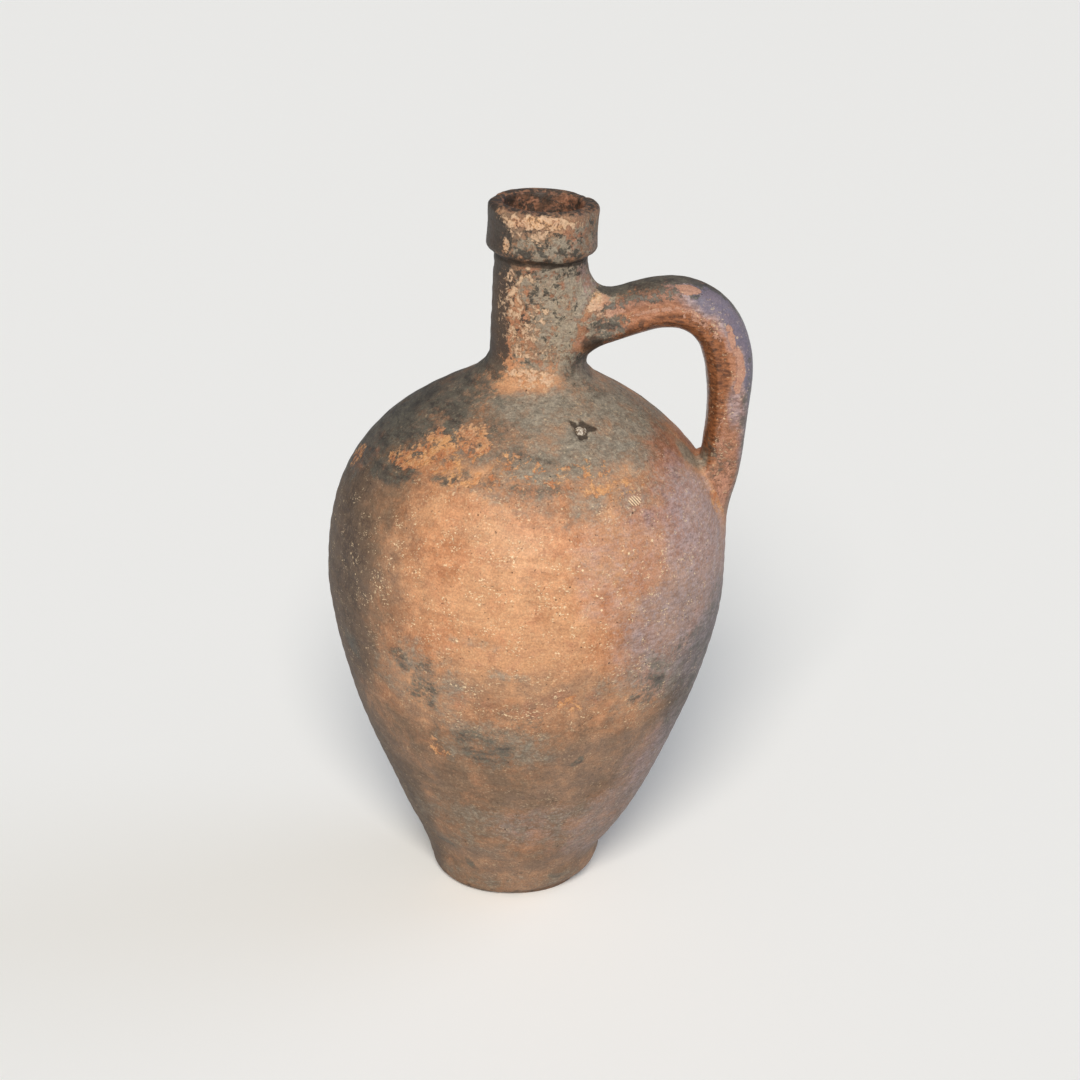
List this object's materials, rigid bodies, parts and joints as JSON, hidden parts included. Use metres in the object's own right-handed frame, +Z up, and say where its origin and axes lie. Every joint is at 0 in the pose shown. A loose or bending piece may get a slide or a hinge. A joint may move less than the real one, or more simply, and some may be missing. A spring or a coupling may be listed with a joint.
{
  "type": "ceramic pitcher",
  "caption": "Tall earthenware jug with an egg-shaped body, narrow neck, collar rim and a strap handle from neck to shoulder, for holding and pouring liquid.",
  "frame": {"origin": "centre of the foot's resting face, on the axis of the body", "axes": "+Z up along the body's axis through the mouth, +X from the axis towards the handle"},
  "size_m": [0.2495, 0.2424, 0.436],
  "materials": {
    "foot_clay": "unglazed earthenware, olive-brown with dark flecks, worn matt",
    "body_clay": "unglazed earthenware, mauve-brown with pale grit, sooted in a band below the belly",
    "belly_clay": "unglazed orange-tan earthenware with pale grit, purple-grey on the handle side",
    "shoulder_clay": "unglazed earthenware under grey-green and charcoal soot, bare orange patches",
    "neck_clay": "unglazed earthenware, flaked grey surface over bare orange clay",
    "collar_clay": "unglazed earthenware, dark grey with an abraded orange edge",
    "handle_clay": "hand-polished earthenware, charcoal above and warm orange-brown below, low sheen",
    "lute_clay": "unglazed earthenware smeared by thumb, flaked and rubbed",
    "plug_filler": "pale hard filler, slightly glossy"
  },
  "bodies": {
    "root": {"foot": "foot_clay", "lower_body": "body_clay", "belly": "belly_clay", "shoulder": "shoulder_clay", "neck": "neck_clay", "rim_collar": "collar_clay", "handle": "handle_clay", "handle_neck_lute": "lute_clay", "handle_shoulder_lute": "lute_clay", "shoulder_plug": "plug_filler"}
  },
  "joints": []
}
